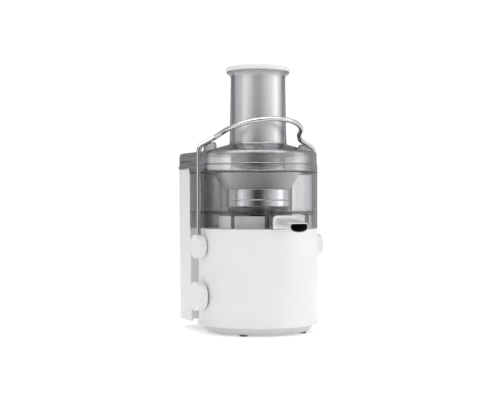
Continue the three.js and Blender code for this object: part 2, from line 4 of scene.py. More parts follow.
import bmesh
import bpy
from mathutils import Vector
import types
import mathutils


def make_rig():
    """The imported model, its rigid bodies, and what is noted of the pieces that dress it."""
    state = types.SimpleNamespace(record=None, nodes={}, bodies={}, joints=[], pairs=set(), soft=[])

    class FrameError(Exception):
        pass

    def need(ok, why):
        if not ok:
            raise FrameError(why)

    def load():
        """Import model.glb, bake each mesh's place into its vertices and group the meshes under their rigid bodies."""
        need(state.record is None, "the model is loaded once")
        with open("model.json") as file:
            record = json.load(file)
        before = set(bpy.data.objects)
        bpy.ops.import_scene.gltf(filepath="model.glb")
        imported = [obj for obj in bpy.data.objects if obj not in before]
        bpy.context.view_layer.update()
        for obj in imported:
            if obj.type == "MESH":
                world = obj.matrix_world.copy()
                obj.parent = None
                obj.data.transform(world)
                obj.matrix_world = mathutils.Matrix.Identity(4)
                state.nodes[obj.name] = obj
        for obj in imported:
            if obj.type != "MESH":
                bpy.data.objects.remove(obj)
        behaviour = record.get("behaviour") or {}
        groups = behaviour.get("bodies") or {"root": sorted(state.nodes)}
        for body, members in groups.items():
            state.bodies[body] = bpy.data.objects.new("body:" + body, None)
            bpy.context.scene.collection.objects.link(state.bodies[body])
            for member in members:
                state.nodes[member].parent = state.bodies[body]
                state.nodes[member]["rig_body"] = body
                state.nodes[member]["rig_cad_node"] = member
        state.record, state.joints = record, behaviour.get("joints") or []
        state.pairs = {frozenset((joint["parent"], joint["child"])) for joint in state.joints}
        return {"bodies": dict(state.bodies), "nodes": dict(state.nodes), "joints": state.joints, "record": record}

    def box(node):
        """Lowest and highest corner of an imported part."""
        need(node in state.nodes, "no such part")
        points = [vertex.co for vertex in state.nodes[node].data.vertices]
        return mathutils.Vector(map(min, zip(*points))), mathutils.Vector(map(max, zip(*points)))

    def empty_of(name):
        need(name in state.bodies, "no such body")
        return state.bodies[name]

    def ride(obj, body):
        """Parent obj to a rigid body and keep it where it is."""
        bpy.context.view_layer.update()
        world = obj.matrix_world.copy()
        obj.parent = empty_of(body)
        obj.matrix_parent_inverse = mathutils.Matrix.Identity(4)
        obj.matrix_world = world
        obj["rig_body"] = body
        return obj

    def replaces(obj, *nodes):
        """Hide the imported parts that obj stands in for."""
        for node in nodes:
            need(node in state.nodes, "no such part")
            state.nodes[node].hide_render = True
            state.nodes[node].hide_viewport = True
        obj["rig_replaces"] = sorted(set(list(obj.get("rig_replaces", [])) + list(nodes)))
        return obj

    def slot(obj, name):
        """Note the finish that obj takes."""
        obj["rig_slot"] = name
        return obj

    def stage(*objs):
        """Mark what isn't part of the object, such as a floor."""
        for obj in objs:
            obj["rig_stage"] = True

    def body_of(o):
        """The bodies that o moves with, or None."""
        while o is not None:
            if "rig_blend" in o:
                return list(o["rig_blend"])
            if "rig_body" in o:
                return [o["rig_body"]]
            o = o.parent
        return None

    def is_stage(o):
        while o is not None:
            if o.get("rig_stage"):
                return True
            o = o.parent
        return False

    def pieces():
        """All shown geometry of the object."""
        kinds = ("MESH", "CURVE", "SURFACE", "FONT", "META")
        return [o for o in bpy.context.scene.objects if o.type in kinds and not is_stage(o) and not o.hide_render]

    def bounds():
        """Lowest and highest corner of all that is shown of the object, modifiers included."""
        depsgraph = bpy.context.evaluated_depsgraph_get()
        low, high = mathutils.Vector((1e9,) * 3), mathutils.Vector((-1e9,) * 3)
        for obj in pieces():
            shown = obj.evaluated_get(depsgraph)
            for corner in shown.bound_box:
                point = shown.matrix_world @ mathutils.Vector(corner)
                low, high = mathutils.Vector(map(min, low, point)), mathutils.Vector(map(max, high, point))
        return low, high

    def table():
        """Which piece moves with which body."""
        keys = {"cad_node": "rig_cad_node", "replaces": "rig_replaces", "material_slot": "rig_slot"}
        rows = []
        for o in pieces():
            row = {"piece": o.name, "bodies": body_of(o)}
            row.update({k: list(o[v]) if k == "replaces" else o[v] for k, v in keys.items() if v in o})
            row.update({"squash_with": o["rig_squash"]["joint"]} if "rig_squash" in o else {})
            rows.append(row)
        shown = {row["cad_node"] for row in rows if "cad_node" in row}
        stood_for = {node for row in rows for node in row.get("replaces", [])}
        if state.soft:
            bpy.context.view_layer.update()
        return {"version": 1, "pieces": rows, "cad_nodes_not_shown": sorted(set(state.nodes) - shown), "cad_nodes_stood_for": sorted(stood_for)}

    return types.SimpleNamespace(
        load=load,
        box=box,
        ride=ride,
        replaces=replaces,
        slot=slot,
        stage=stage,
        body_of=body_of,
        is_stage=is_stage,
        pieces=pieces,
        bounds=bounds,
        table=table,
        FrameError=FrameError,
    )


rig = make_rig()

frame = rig.load()
CAD_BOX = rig.bounds()

# ---- sizes in millimetres, read from the CAD's boxes where it has them ----
MM = 0.001


def top(node):
    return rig.box(node)[1].z / MM


def low(node):
    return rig.box(node)[0].z / MM


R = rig.box("juice_bowl")[1].x / MM
WALL = 2.6
DECK = 161.5
FLOOR = 187.0
BOWL_TOP = top("juice_bowl")
BOWL_LOW = low("juice_bowl")
LID_LOW = 248.3
LID_TOP = 281.0
BIN_TOP = top("pulp_container")
BIN_LOW = low("pulp_container")
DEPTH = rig.box("lid")[1].y / MM
TUBE_TOP = top("lid")
TUBE_LOW = low("lid")
ARM_X, ROD_R, ARM_Z = 100.0, 3.75, 134.0
LEG_TOP = 288.0
NECK_X, NECK_Z = 70.0, 303.4
KNOB_X = R + 0.6
KNOB_DEPTH = 13.8
DIAL_Z, DIAL_R, HUB_R = 58.0, 22.0, 18.0
CORNER_Y = 58.0
BIN_FACE = 62.0


# ---- node materials ----
class Nodes:
    """A material under construction."""

    def __init__(self, name):
        self.mat = bpy.data.materials.new(name)
        self.mat.use_nodes = True
        self.tree = self.mat.node_tree
        self.tree.nodes.clear()
        self.out = self.add("ShaderNodeOutputMaterial")
        self.coord = self.add("ShaderNodeTexCoord")

    def add(self, kind, inputs=None, **props):
        node = self.tree.nodes.new(kind)
        for key, value in props.items():
            setattr(node, key, value)
        for key, value in (inputs or {}).items():
            self.put(node.inputs[key], value)
        return node

    def put(self, socket, value):
        if isinstance(value, bpy.types.NodeSocket):
            self.tree.links.new(value, socket)
        else:
            socket.default_value = value

    def noise(self, scale, detail=3.0, stretch=(1, 1, 1)):
        place = {"Vector": self.coord.outputs["Object"], "Scale": stretch}
        mapped = self.add("ShaderNodeMapping", place)
        settings = {"Vector": mapped.outputs[0], "Scale": scale, "Detail": detail}
        made = self.add("ShaderNodeTexNoise", settings)
        return made.outputs["Fac"]

    def ramp(self, fac, first, last, start=0.3, end=0.7):
        node = self.add("ShaderNodeValToRGB", {"Fac": fac})
        node.color_ramp.elements[0].position, node.color_ramp.elements[1].position = start, end
        node.color_ramp.elements[0].color, node.color_ramp.elements[1].color = first, last
        return node.outputs["Color"]

    def span(self, value, a, b, start=0.3, end=0.7):
        node = self.add(
            "ShaderNodeMapRange",
            {"Value": value, "From Min": start, "From Max": end, "To Min": a, "To Max": b},
        )
        return node.outputs["Result"]

    def math(self, operation, a, b=0.0, clamp=False):
        node = self.add("ShaderNodeMath", operation=operation, use_clamp=clamp)
        self.put(node.inputs[0], a)
        self.put(node.inputs[1], b)
        return node.outputs[0]

    def bump(self, height, strength, distance=0.0004):
        settings = {"Height": height, "Strength": strength, "Distance": distance}
        made = self.add("ShaderNodeBump", settings)
        return made.outputs["Normal"]

    def finish(self, shader):
        self.tree.links.new(shader, self.out.inputs["Surface"])
        return self.mat


def grey(v, tint=(1, 1, 1)):
    return (v * tint[0], v * tint[1], v * tint[2], 1)


def surface(
    name, colour, vary=0.03, rough=(0.25, 0.4), metal=0.0, scale=60, bump=0.05, stretch=(1, 1, 1)
):
    """A moulded or metal surface with a little mottling, uneven gloss and, with a bump, grain."""
    n = Nodes(name)
    cloud = n.noise(scale, 2, stretch)
    grain = n.noise(scale * (14 if bump else 1.7), 3, stretch)
    dark = tuple(c * (1 - vary) for c in colour) + (1,)
    light = tuple(min(1, c * (1 + vary)) for c in colour) + (1,)
    shader = n.add(
        "ShaderNodeBsdfPrincipled",
        {
            "Base Color": n.ramp(cloud, dark, light),
            "Roughness": n.span(grain, rough[0], rough[1]),
            "Metallic": metal,
        },
    )
    if bump:
        n.put(shader.inputs["Normal"], n.bump(grain, bump))
    return n.finish(shader.outputs[0])


def set_stops(ramp, stops):
    """Gives a colour ramp its (position, colour) stops; the first two take its own."""
    for position, _ in stops[1:-1]:
        ramp.elements.new(position)
    for stop, (position, colour) in zip(ramp.elements, stops):
        stop.position, stop.color = position, colour


def smoky(name, tint, mirror, edge, rough=(0.04, 0.08)):
    """Clear tinted plastic: its tint deepens and it mirrors more where the wall is seen edge on."""
    n = Nodes(name)
    cloud = n.noise(7, 2)
    facing = n.add("ShaderNodeLayerWeight", {"Blend": 0.5}).outputs["Facing"]
    # The light's way through the wall grows towards the edges, and so does what it loses.
    tinted = n.add("ShaderNodeValToRGB", {"Fac": n.math("ADD", facing, n.span(cloud, -0.02, 0.02))})
    ramp = tinted.color_ramp
    stops = ((0.0, 1), (0.47, 1.5), (0.6, edge), (0.8, edge * 1.8), (1.0, edge * 6))
    set_stops(ramp, [(place, tuple(c**walls for c in tint) + (1,)) for place, walls in stops])
    clear = n.add("ShaderNodeBsdfTransparent", {"Color": tinted.outputs["Color"]})
    # Schlick's curve, the same for the wall's two faces.
    grazing = n.math("POWER", facing, 5.0)
    share = n.math("ADD", grazing, n.span(cloud, mirror * 0.85, mirror * 1.15), clamp=True)
    gloss = n.add(
        "ShaderNodeBsdfPrincipled",
        {
            "Base Color": n.ramp(cloud, grey(0.84, (1, 0.99, 1)), grey(0.9, (1, 0.99, 1))),
            "Roughness": n.span(cloud, rough[0], rough[1]),
            "Metallic": 1.0,
        },
    )
    mix = n.add("ShaderNodeMixShader", {"Fac": share, 1: clear.outputs[0], 2: gloss.outputs[0]})
    return n.finish(mix.outputs[0])


def filter_metal(name):
    """Stainless sheet with rows of fine round holes."""
    n = Nodes(name)
    cells = n.add(
        "ShaderNodeTexVoronoi",
        {"Vector": n.coord.outputs["Object"], "Scale": 900.0, "Randomness": 0.25},
    )
    holes = cells.outputs["Distance"]
    cloud = n.noise(40, 2)
    shader = n.add(
        "ShaderNodeBsdfPrincipled",
        {
            "Base Color": n.ramp(holes, grey(0.2), grey(0.5, (1, 0.99, 1)), 0.2, 0.5),
            "Roughness": n.span(cloud, 0.38, 0.52),
            "Metallic": 0.85,
            "Normal": n.bump(holes, 0.35, 0.0002),
        },
    )
    return n.finish(shader.outputs[0])


WHITE = surface("white_plastic", (0.725, 0.725, 0.72), 0.012, (0.34, 0.44), scale=30, bump=0.04)
# A brighter copy of the white plastic: painted light for a wall that stands in shade.
WHITE_BRIGHTENED = surface(
    "white_inner_plastic", (0.95, 0.95, 0.945), 0.012, (0.34, 0.44), scale=30, bump=0.04
)
# A darker satin copy of the white plastic: the satin gloss is its own, and the darker colour is painted shade low on
# the base.
WHITE_SATIN_SHADED = surface(
    "white_satin_plastic", (0.57, 0.57, 0.565), 0.015, (0.35, 0.48), scale=40, bump=0.05
)
RUBBER = surface("rubber", (0.07, 0.07, 0.074), 0.2, (0.65, 0.85), scale=120, bump=0.15)
SEAL = surface("seal_rubber", (0.03, 0.03, 0.034), 0.15, (0.45, 0.6), scale=120, bump=0.1)
CHROME = surface("chrome", (0.47, 0.47, 0.48), 0.02, (0.03, 0.06), 1.0, scale=50, bump=0)
STEEL = surface("stainless_steel", (0.64, 0.64, 0.65), 0.05, (0.1, 0.15), 1.0, 30, 0, (1, 1, 14))
STEEL_DULL = surface("brushed_steel", (0.5, 0.5, 0.51), 0.08, (0.3, 0.42), 1.0, 30, 0.05, (1, 1, 20))
SILVER = surface("silver_plastic", (0.76, 0.76, 0.765), 0.02, (0.28, 0.32), 0.45, 12, 0)
PEARL = surface("pearl_plastic", (0.62, 0.62, 0.625), 0.03, (0.25, 0.34), 0.35, 60, 0.03)
DARK = surface("dark_plastic", (0.05, 0.052, 0.056), 0.15, (0.4, 0.55), scale=90, bump=0.08)
COPPER = surface("copper_winding", (0.62, 0.27, 0.12), 0.15, (0.3, 0.45), 0.9, 90, 0.2, (1, 1, 6))
IRON = surface("laminated_iron", (0.22, 0.225, 0.235), 0.12, (0.4, 0.6), 0.8, 30, 0.2, (1, 1, 30))
BOARD = surface("circuit_board", (0.04, 0.16, 0.07), 0.2, (0.3, 0.5), scale=120, bump=0.1)
INK_RED = surface("red_print", (0.62, 0.08, 0.08), 0.06, (0.4, 0.5), scale=200, bump=0.02)
INK_GREY = surface("grey_print", (0.25, 0.25, 0.26), 0.06, (0.4, 0.5), scale=200, bump=0.02)
FILTER = filter_metal("filter_sheet")
BOWL_CLEAR = smoky("smoky_bowl", (0.934, 0.932, 0.937), 0.06, 4)
LID_CLEAR = smoky("smoky_lid", (0.905, 0.902, 0.908), 0.15, 8, (0.09, 0.14))
# Clearer than the bowl: thin walls, and also painted light that lifts the shade low in the bowl.
THIN_CLEAR_LIGHTENED = smoky("smoky_thin", (0.985, 0.984, 0.986), 0.03, 3)
# Deep-tinted clear plastic for the bowl's ribs, and for dark rings of painted shade in the bowl and the lid.
THICK_CLEAR_AND_SHADE = smoky("smoky_thick", (0.45, 0.445, 0.46), 0.04, 1.6)
EAR_CLEAR = smoky("smoky_ear", (0.62, 0.615, 0.625), 0.1, 3)
TUBE_CLEAR = smoky("smoky_tube", (0.955, 0.953, 0.957), 0.05, 12, (0.06, 0.1))


# ---- mesh helpers, all lengths in millimetres ----
def piece(name, verts, faces, material, body, angle=32.0):
    """A closed mesh with outward normals, smooth apart from its sharp edges, riding on a body."""
    bm = bmesh.new()
    made = [bm.verts.new(Vector(v) * MM) for v in verts]
    for face in faces:
        if len(set(face)) > 2:
            try:
                bm.faces.new([made[i] for i in face])
            except ValueError:
                pass
    bmesh.ops.remove_doubles(bm, verts=bm.verts, dist=1e-7)
    bmesh.ops.dissolve_degenerate(bm, edges=bm.edges, dist=1e-8)
    bmesh.ops.recalc_face_normals(bm, faces=bm.faces)
    mesh = bpy.data.meshes.new(name)
    bm.to_mesh(mesh)
    bm.free()
    return dress(name, mesh, material, body, angle)


def dress(name, mesh, material, body, angle=32.0):
    mesh.polygons.foreach_set("use_smooth", [True] * len(mesh.polygons))
    mesh.set_sharp_from_angle(angle=math.radians(angle))
    mesh.materials.clear()
    mesh.materials.append(material)
    obj = bpy.data.objects.new(name, mesh)
    bpy.context.scene.collection.objects.link(obj)
    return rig.ride(obj, body) if body else obj


def loft(rings, ends="cap"):
    """Vertices and faces through rings of equal length: ends capped, or joined in a closed loop."""
    count = len(rings[0])
    verts = [p for ring in rings for p in ring]
    faces = []
    last = len(rings) if ends == "loop" else len(rings) - 1
    for i in range(last):
        a, b = i * count, ((i + 1) % len(rings)) * count
        for j in range(count):
            k = (j + 1) % count
            faces.append((a + j, a + k, b + k, b + j))
    if ends == "cap":
        faces.append(tuple(reversed(range(count))))
        faces.append(tuple(range(len(verts) - count, len(verts))))
    return verts, faces


def circle(r, z, count):
    turns = [2 * math.pi * i / count for i in range(count)]
    return [(r * math.cos(turn), r * math.sin(turn), z) for turn in turns]


def soften(points, closed=False, steps=5, hold=False):
    """Rounds each corner that has a third number, its radius."""
    made = []
    total = len(points)
    for i, p in enumerate(points):
        r = p[2] if len(p) > 2 else 0
        if not r or (not closed and i in (0, total - 1)):
            made.append((p[0], p[1]))
            continue
        here = Vector(p[:2])
        before = Vector(points[i - 1][:2]) - here
        after = Vector(points[(i + 1) % total][:2]) - here
        a = here + before.normalized() * min(r, before.length * 0.49)
        b = here + after.normalized() * min(r, after.length * 0.49)
        along = [s / steps for s in range(steps + 1)]
        corner = [a * (1 - t) ** 2 + here * 2 * t * (1 - t) + b * t * t for t in along]
        # A short step on either side keeps the flat faces beside the corner evenly shaded.
        if hold and before.length > 2 * r + 1:
            corner.insert(0, a + before.normalized() * 0.25)
        if hold and after.length > 2 * r + 1:
            corner.append(b + after.normalized() * 0.25)
        made += [tuple(q) for q in corner]
    return made


def turned(profile, count=128, closed=False, steps=5):
    """A solid of revolution about Z. An open profile starts and ends on the axis."""
    rings = [circle(r, z, count) for r, z in soften(profile, closed, steps, True)]
    return loft(rings, "loop" if closed else "open")


def side_name(side):
    return "right" if side > 0 else "left"


def to_side(verts, side, z):
    """Lays something turned about Z down along X, pointing left for side -1 or right for 1."""
    return [(side * p[2], p[1], z - side * p[0]) for p in verts]


def arc(cx, cy, r, start, end, count):
    """Points of an arc, its last one left out."""
    return [
        (cx + r * math.cos(math.radians(start + (end - start) * i / count)),
         cy + r * math.sin(math.radians(start + (end - start) * i / count)))
        for i in range(count)
    ]


def line(a, b, count):
    dx, dy = b[0] - a[0], b[1] - a[1]
    return [(a[0] + dx * i / count, a[1] + dy * i / count) for i in range(count)]


def curve(a, b, c, count):
    return [
        tuple(a[k] * (1 - t) ** 2 + b[k] * 2 * t * (1 - t) + c[k] * t * t for k in (0, 1))
        for t in (i / count for i in range(count))
    ]


def bowl_outline(inset):
    r, y = R - inset, CORNER_Y - inset
    start = math.degrees(math.asin(y / r))
    x = r * math.cos(math.radians(start))
    c = max(4.0 - inset, 1.2)
    right = line((r, 0), (r, y - c), 8) + curve((r, y - c), (r, y), (r - c, y), 6)
    right += line((r - c, y), (x, y), 4)
    back = arc(0, 0, r, start, 180 - start, 56)
    left = line((-x, y), (c - r, y), 4) + curve((c - r, y), (-r, y), (-r, y - c), 6)
    left += line((-r, y - c), (-r, 0), 8)
    return arc(0, 0, r, 180, 360, 96) + right + back + left


BOW = 7.0


def back_points(w, depth, corner):
    slope = 2 * BOW / (w - corner)
    y = depth - BOW
    start = y - corner * (1 + slope)
    mid = (w, y - corner * slope)
    points = curve((w, start), mid, (w - corner, y), 14)
    points += curve((w - corner, y), (0, depth + BOW), (corner - w, y), 28)
    points += curve((corner - w, y), (-mid[0], mid[1]), (-w, start), 14)
    return start, points


STEP_Y = 60.0


def lid_outline(inset):
    r = R - inset
    start, back = back_points(r, DEPTH - inset, 32 - inset)
    side = [0, 15, 30, 45, STEP_Y - 1.2, STEP_Y, 75]
    right = [(r, y) for y in side]
    left = [(-r, y) for y in [start, *reversed(side[1:])]]
    return arc(0, 0, r, 180, 360, 96) + right + back + left


def lift(outline, z):
    return [(x, y, z) for x, y in outline]


def onto_circle(outline, r, z):
    made = []
    for x, y in outline:
        d = math.hypot(x, y)
        made.append((x / d * r, y / d * r, z))
    return made


def block(x0, x1, y0, y1, z0, z1):
    verts = [(x, y, z) for z in (z0, z1) for x, y in ((x0, y0), (x1, y0), (x1, y1), (x0, y1))]
    return verts, [(3, 2, 1, 0), (4, 5, 6, 7), (0, 1, 5, 4), (1, 2, 6, 5), (2, 3, 7, 6), (3, 0, 4, 7)]


def baked(obj):
    """A mesh of the object as its modifiers or its text leave it."""
    bpy.context.view_layer.update()
    graph = bpy.context.evaluated_depsgraph_get()
    return bpy.data.meshes.new_from_object(obj.evaluated_get(graph))


def combine(target, operation, *others):
    """Booleans an object with (verts, faces) solids and bakes the result."""
    for verts, faces in others:
        tool = piece("tool", verts, faces, WHITE, None)
        mod = target.modifiers.new("bool", "BOOLEAN")
        mod.operation, mod.solver, mod.object = operation, "EXACT", tool
        mesh = baked(target)
        target.modifiers.clear()
        target.data = mesh
        bpy.data.objects.remove(tool)
    return target


def seal_off(obj, name, material, body, angle=32.0):
    mesh = obj.data
    bpy.data.objects.remove(obj)
    return dress(name, mesh, material, body, angle)


def stands_for(obj, node, slot):
    """Gives a piece the place of a CAD node and one of its material slots."""
    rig.replaces(obj, node)
    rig.slot(obj, slot)


# ---- motor base ----
def base():
    r = R
    profile = [
        (95.6, 13.6, 1.2), (94.6, 16.4, 2), (r, 24, 8), (r, 157.6, 0.4), (r - 0.7, 158.2, 0.3),
        (r, 158.8, 0.4), (r, DECK, 2.0), (36, DECK, 3), (33.2, 176, 2), (31.2, 179, 2),
        (8.3, 179, 0.6), (8.3, 176.4), (30.2, 176.4), (31.5, DECK - WALL), (r - WALL, DECK - WALL),
        (r - WALL, 22), (92, 13.6, 0.6),
    ]
    shell = piece("shell", *turned(profile, 200, True, 4), WHITE, None)
    # The wall's recess on each side: lined, then cut out.
    recess_x = 86.8
    for side in (1, -1):
        x0, x1 = sorted((side * (recess_x - WALL), side * 91.4))
        combine(shell, "UNION", block(x0, x1, -4, 33, ARM_Z - 3, DECK - 0.7))
        x0, x1 = sorted((side * recess_x, side * 99))
        verts, faces = rounded_box(x0, x1, -0.6, 30, ARM_Z, DECK + 9, 3.0)
        combine(shell, "DIFFERENCE", (verts, faces))
    body = seal_off(shell, "base_shell", WHITE, "base", 30)
    stands_for(body, "base_housing", "white_plastic")
    # A low wall on the deck, which shows through the bowl's foot. Its brighter copy of the white plastic is painted
    # light that lifts its shade.
    ring = [(59.8, DECK - 0.1), (61.8, DECK - 0.1), (61.8, 180.4, 0.4), (59.8, 180.4, 0.4)]
    wall = piece("deck_wall", *turned(ring, 160, True), WHITE_BRIGHTENED, "base")
    stands_for(wall, "base_housing", "white_plastic")


def rounded_box(x0, x1, y0, y1, z0, z1, r):
    """A box whose four edges along X are rounded."""
    corners = [(y0, z0, r), (y1, z0, r), (y1, z1, r), (y0, z1, r)]
    outline = soften(corners, True, 6)
    return loft([[(x, y, z) for y, z in outline] for x in (x0, x1)])


def skirt():
    profile = [
        (0, 1.9), (78.4, 1.9, 2), (80.9, 4, 2), (88.9, 12.9, 1.2), (89.9, 14), (89.9, 20),
        (87.6, 20), (87.6, 14.6), (79.2, 5.3), (0, 5.3),
    ]
    # The skirt's darker white is painted shade near the floor.
    cover = piece("bottom_skirt", *turned(profile, 200, steps=4), WHITE_SATIN_SHADED, "base")
    stands_for(cover, "bottom_cover", "white_plastic")
    # The ledges take the same darker white, painted shade under the container.
    ledge = []
    for inner, outer, z0, z1 in ((86.5, 113, 10.4, 13.2), (98.5, 113, 13.1, 16.7)):
        near, far = arc(0, 0, inner, 60, 120.01, 30), arc(0, 0, outer, 120, 59.99, 30)
        ledge.append(loft([lift(near + far, z) for z in (z0, z1)]))
    for i, (verts, faces) in enumerate(ledge):
        part = piece(f"bin_ledge_{i + 1}", verts, faces, WHITE_SATIN_SHADED, "base")
        stands_for(part, "bottom_cover", "white_plastic")


def feet():
    for place in ("rear_right", "rear_left", "front_left", "front_right"):
        lo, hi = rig.box(f"foot_{place}")
        cx, cy = (lo.x + hi.x) / 2 / MM, (lo.y + hi.y) / 2 / MM
        profile = [
            (0, 0), (6.2, 0, 0.9), (6.6, 2.2, 0.4), (2.7, 2.2), (2.7, 5.6), (3.9, 5.6, 0.4),
            (2.4, 7.8), (0, 7.8),
        ]
        verts, faces = turned(profile, 48)
        verts = [(x + cx, y + cy, z) for x, y, z in verts]
        foot = piece(f"rubber_foot_{place}", verts, faces, RUBBER, "base")
        stands_for(foot, f"foot_{place}", "rubber")


# ---- hubs, dial and its figures ----
FIGURE_R = 27.5


def knobs():
    for side in (-1, 1):
        place = side_name(side)
        profile = [
            (0, KNOB_X + 8.9), (5.3, KNOB_X + 8.9), (5.3, KNOB_X), (HUB_R - 0.6, KNOB_X, 0.3),
            (HUB_R, KNOB_X + 1, 0.6), (HUB_R, KNOB_X + KNOB_DEPTH, 0.8), (0, KNOB_X + KNOB_DEPTH),
        ]
        verts, faces = turned(profile, 112)
        hub = piece(f"hub_{place}", to_side(verts, side, ARM_Z), faces, WHITE, None)
        low_z, high_z, hole_r = ARM_Z + 6.2, ARM_Z + 30, ROD_R + 0.15
        hole, caps = turned([(0, low_z), (hole_r, low_z), (hole_r, high_z), (0, high_z)], 40)
        combine(hub, "DIFFERENCE", ([(x + side * ARM_X, y, z) for x, y, z in hole], caps))
        hub = seal_off(hub, f"hub_{place}", WHITE, "arm")
        stands_for(hub, f"arm_hub_{place}", "white_plastic")
    profile = [
        (0, KNOB_X + 8.8), (3.3, KNOB_X + 8.8), (3.3, KNOB_X), (6.5, KNOB_X, 0.5),
        (6.5, KNOB_X + 11.2), (DIAL_R - 2.2, KNOB_X + 11.2), (DIAL_R - 2.2, KNOB_X, 0.3),
        (DIAL_R, KNOB_X, 0.5), (DIAL_R, KNOB_X + KNOB_DEPTH, 0.8), (0, KNOB_X + KNOB_DEPTH),
    ]
    verts, faces = turned(profile, 128)
    dial = piece("dial_knob", to_side(verts, -1, DIAL_Z), faces, WHITE, "dial")
    stands_for(dial, "speed_dial", "white_plastic")


def figures():
    """The dial's figures, wrapped on to the base's wall."""
    for text, turn, material in (("0", 0, INK_RED), ("1", 45, INK_GREY), ("2", 90, INK_GREY)):
        font = bpy.data.curves.new("figure", "FONT")
        font.body, font.size, font.extrude = text, 4.6, 0.2
        font.align_x, font.align_y = "CENTER", "CENTER"
        shape = bpy.data.objects.new("figure", font)
        bpy.context.scene.collection.objects.link(shape)
        mesh = baked(shape)
        bpy.data.objects.remove(shape)
        # Seen from the left, right is -Y and up is +Z.
        across = FIGURE_R * math.sin(math.radians(turn))
        up = FIGURE_R * math.cos(math.radians(turn))
        for v in mesh.vertices:
            phi = (across + v.co.x) / R
            r = R + 0.02 + max(0.0, v.co.z) * 0.5 - (0.3 if v.co.z < 0 else 0)
            v.co = Vector((-r * math.cos(phi), -r * math.sin(phi), DIAL_Z + up + v.co.y)) * MM
        bm = bmesh.new()
        bm.from_mesh(mesh)
        bmesh.ops.remove_doubles(bm, verts=bm.verts, dist=1e-8)
        bmesh.ops.recalc_face_normals(bm, faces=bm.faces)
        bm.to_mesh(mesh)
        bm.free()
        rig.slot(dress(f"figure_{text}", mesh, material, "base"), "white_plastic")


# ---- locking arm ----
def arm_points():
    """The rod's centre line, from the right hub round to the left one."""
    leg = Vector((ARM_X, 0, LEG_TOP))
    neck = Vector((NECK_X, 0, NECK_Z))
    foot = Vector((ARM_X, 0, ARM_Z + 7))
    bend_low = leg + (foot - leg).normalized() * 9
    bend_high = leg + (neck - leg).normalized() * 9
    neck_in = neck + (leg - neck).normalized() * 5
    first = math.radians(10)
    loop = []
    for i in range(13):
        angle = first + (math.pi - 2 * first) * i / 12
        ahead = (math.sin(angle) - math.sin(first)) / (1 - math.sin(first))
        loop.append(Vector((67.5 * math.cos(angle), -67.5 * math.sin(angle), 308.5 + 19.3 * ahead)))

    def mirror(p):
        return Vector((-p.x, p.y, p.z))

    points = [foot.lerp(bend_low, i / 24) for i in range(24)]
    bend = [i / 10 for i in range(10)]
    points += [bend_low.lerp(leg, t).lerp(leg.lerp(bend_high, t), t) for t in bend]
    points += [bend_high.lerp(neck_in, i / 6) for i in range(6)]
    crown = [neck_in, *loop, mirror(neck_in)]
    points += catmull(crown, 12)
    left = [mirror(p) for p in points[:40]]
    return points + list(reversed(left))


def catmull(p, steps):
    """A centripetal Catmull-Rom curve through the points, with its last one left out."""
    ghost = [p[0] * 2 - p[1], *p, p[-1] * 2 - p[-2]]
    made = []
    for i in range(1, len(ghost) - 2):
        a, b, c, d = ghost[i - 1 : i + 3]
        ta, tb, tc = ((b - a).length ** 0.5, (c - b).length ** 0.5, (d - c).length ** 0.5)
        m1 = (b - a) / ta - (c - a) / (ta + tb) + (c - b) / tb
        m2 = (c - b) / tb - (d - b) / (tb + tc) + (d - c) / tc
        m1, m2 = m1 * tb, m2 * tb
        for s in range(steps):
            t = s / steps
            made.append(
                b * (2 * t**3 - 3 * t**2 + 1)
                + m1 * (t**3 - 2 * t**2 + t)
                + c * (3 * t**2 - 2 * t**3)
                + m2 * (t**3 - t**2)
            )
    return made


def swept(points, r, count):
    """Rings of a round rod along a line, without twist, with flat caps at the ends."""
    rings = []
    side = Vector((1, 0, 0))
    for i, p in enumerate(points):
        ahead = (points[min(i + 1, len(points) - 1)] - points[max(i - 1, 0)]).normalized()
        side = (side - ahead * side.dot(ahead)).normalized()
        other = ahead.cross(side)
        turns = [2 * math.pi * k / count for k in range(count)]
        rings.append([tuple(p + (side * math.cos(t) + other * math.sin(t)) * r) for t in turns])
    return loft(rings)


def arm():
    rod = piece("arm_rod", *swept(arm_points(), ROD_R, 32), CHROME, "arm")
    stands_for(rod, "locking_arm", "chrome")


